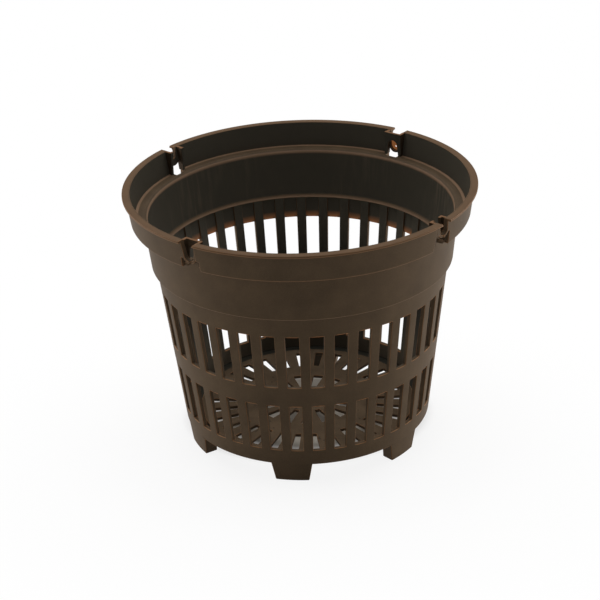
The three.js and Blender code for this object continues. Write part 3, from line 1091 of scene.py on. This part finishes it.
# Camera: where the reference view was taken from, worked out by fitting the pot's rims and slots.
# It stands in front of the pot and to its right, looks down on it, and is tipped a little sideways.
camera_turn = math.radians(38.4)
camera_elevation = math.radians(26.153)
camera_roll = math.radians(-2.155)
camera_distance = 0.77985
camera_target = Vector((-0.00171, 0.0, 0.05919))
focal_in_pixels = 1793.0
frame_pixels = 600
camera_data = bpy.data.cameras.new("camera")
camera_data.sensor_width = 36.0
camera_data.lens = focal_in_pixels / frame_pixels * camera_data.sensor_width
camera_data.clip_start = 0.01
camera = bpy.data.objects.new("camera", camera_data)
bpy.context.scene.collection.objects.link(camera)
bpy.context.scene.camera = camera
to_camera = Vector((0.0, -math.cos(camera_elevation), math.sin(camera_elevation)))
tilt = Matrix.Rotation(math.pi / 2 - camera_elevation, 4, "X") @ Matrix.Rotation(camera_roll, 4, "Z")
stand = Matrix.Translation(camera_target + camera_distance * to_camera) @ tilt
camera.matrix_world = Matrix.Rotation(camera_turn, 4, "Z") @ stand
bpy.context.scene.view_settings.view_transform = "Standard"

# Studio: a white table top under a soft overhead light, with a long low light on each side
# of the pot and a dim white room all round. Under the pot the table carries a painted shadow.
white = (1.0, 1.0, 1.0, 1.0)
table_half = 3.0
table_drop = 0.00005
table_bounce = (0.85, 0.85, 0.85, 1.0)
table_white = (0.9, 0.9, 0.9, 1.0)
# Painted shadow under the pot: there the table is a warm grey, with painted warm bounce from the brown
# plastic, fading to white by distance from the axis.
table_shaded = (0.50, 0.46, 0.40, 1.0)
table_glow = ((0.030, 0.0), (0.046, 0.86), (0.10, 0.94), (0.2, 1.0))
glow_reach = table_glow[-1][0]
shade_shift = 0.006
shade_stretch = 0.8
table = bpy.data.meshes.new("table_top")
table_outline = box_outline(-table_half, table_half, -table_half, table_half)
table.from_pydata([(x, y, -table_drop) for x, y in table_outline], [], [(0, 1, 2, 3)])
table_top = bpy.data.objects.new("table_top", table)
bpy.context.scene.collection.objects.link(table_top)
table_top.rotation_euler = (0.0, 0.0, camera_turn)
paper = bpy.data.materials.new("white_paper")
paper.use_nodes = True
tree = paper.node_tree
tree.nodes.clear()
link = tree.links.new
rays = add_node(tree, "ShaderNodeLightPath")
seen = add_node(tree, "ShaderNodeMath", {"operation": "MAXIMUM"})
link(rays.outputs["Is Camera Ray"], seen.inputs[0])
link(rays.outputs["Is Glossy Ray"], seen.inputs[1])
place = add_node(tree, "ShaderNodeTexCoord")
from_axis = add_node(tree, "ShaderNodeVectorMath", {"operation": "LENGTH"})
placing = {"Location": (0.0, -shade_shift, 0.0), "Scale": (shade_stretch, 1.0, 1.0)}
shaded = add_node(tree, "ShaderNodeMapping", sockets=placing)
link(place.outputs["Object"], shaded.inputs["Vector"])
link(shaded.outputs["Vector"], from_axis.inputs[0])
reach = add_node(tree, "ShaderNodeMath", {"operation": "DIVIDE"})
reach.inputs[1].default_value = glow_reach
link(from_axis.outputs["Value"], reach.inputs[0])
share = add_node(tree, "ShaderNodeValToRGB")
for distance, glow in table_glow[1:-1]:
    share.color_ramp.elements.new(distance / glow_reach)
for element, (distance, glow) in zip(share.color_ramp.elements, table_glow):
    element.position = distance / glow_reach
    element.color = (glow, glow, glow, 1.0)
link(reach.outputs["Value"], share.inputs["Fac"])
under_pot = add_node(tree, "ShaderNodeMix", {"data_type": "RGBA"})
under_pot.inputs[mix_under].default_value = table_shaded
under_pot.inputs[mix_over].default_value = table_white
link(share.outputs["Color"], under_pot.inputs["Factor"])
colour = add_node(tree, "ShaderNodeMix", {"data_type": "RGBA"}, {mix_under: table_bounce})
link(seen.outputs["Value"], colour.inputs["Factor"])
link(under_pot.outputs[mix_result], colour.inputs[mix_over])
matt = add_node(tree, "ShaderNodeBsdfDiffuse")
link(colour.outputs[mix_result], matt.inputs["Color"])
# The white glow seen by the camera fades under the pot, keeping the painted shadow there.
lit = add_node(tree, "ShaderNodeMath", {"operation": "MULTIPLY"})
link(seen.outputs["Value"], lit.inputs[0])
link(share.outputs["Color"], lit.inputs[1])
shining = add_node(tree, "ShaderNodeEmission", sockets={"Color": white, "Strength": 1.0})
mixed = add_node(tree, "ShaderNodeMixShader")
link(lit.outputs["Value"], mixed.inputs["Fac"])
link(matt.outputs["BSDF"], mixed.inputs[1])
link(shining.outputs["Emission"], mixed.inputs[2])
output = add_node(tree, "ShaderNodeOutputMaterial")
link(mixed.outputs["Shader"], output.inputs["Surface"])
table.materials.append(paper)

room_light = 0.2
light_aim = Vector((0.0, 0.0, 0.06))
world = bpy.data.worlds.new("studio")
world.use_nodes = True
bpy.context.scene.world = world
tree = world.node_tree
tree.nodes.clear()
link = tree.links.new
room = add_node(tree, "ShaderNodeBackground", sockets={"Color": white, "Strength": room_light})
backdrop = add_node(tree, "ShaderNodeBackground", sockets={"Color": white, "Strength": 1.0})
rays = add_node(tree, "ShaderNodeLightPath")
mixed = add_node(tree, "ShaderNodeMixShader")
link(rays.outputs["Is Camera Ray"], mixed.inputs["Fac"])
link(room.outputs["Background"], mixed.inputs[1])
link(backdrop.outputs["Background"], mixed.inputs[2])
output = add_node(tree, "ShaderNodeOutputWorld")
link(mixed.outputs["Shader"], output.inputs["Surface"])


def soft_box(name, place, width, height, power):
    """A soft light at a place counted right of, behind and above the pot, facing the pot."""
    lamp = bpy.data.lights.new(name, "AREA")
    lamp.shape = "RECTANGLE"
    lamp.size = width
    lamp.size_y = height
    lamp.energy = power
    light = bpy.data.objects.new(name, lamp)
    light.location = Matrix.Rotation(camera_turn, 3, "Z") @ Vector(place)
    aim = light_aim - light.location
    light.rotation_euler = aim.to_track_quat("-Z", "Y").to_euler()
    bpy.context.scene.collection.objects.link(light)


soft_box("overhead", place=(0.0, 0.45, 1.0), width=1.8, height=1.2, power=16.5)
soft_box("left_side", place=(-0.63, 0.16, 0.055), width=0.6, height=0.11, power=3.0)
soft_box("right_side", place=(0.63, 0.16, 0.055), width=0.6, height=0.11, power=3.9)
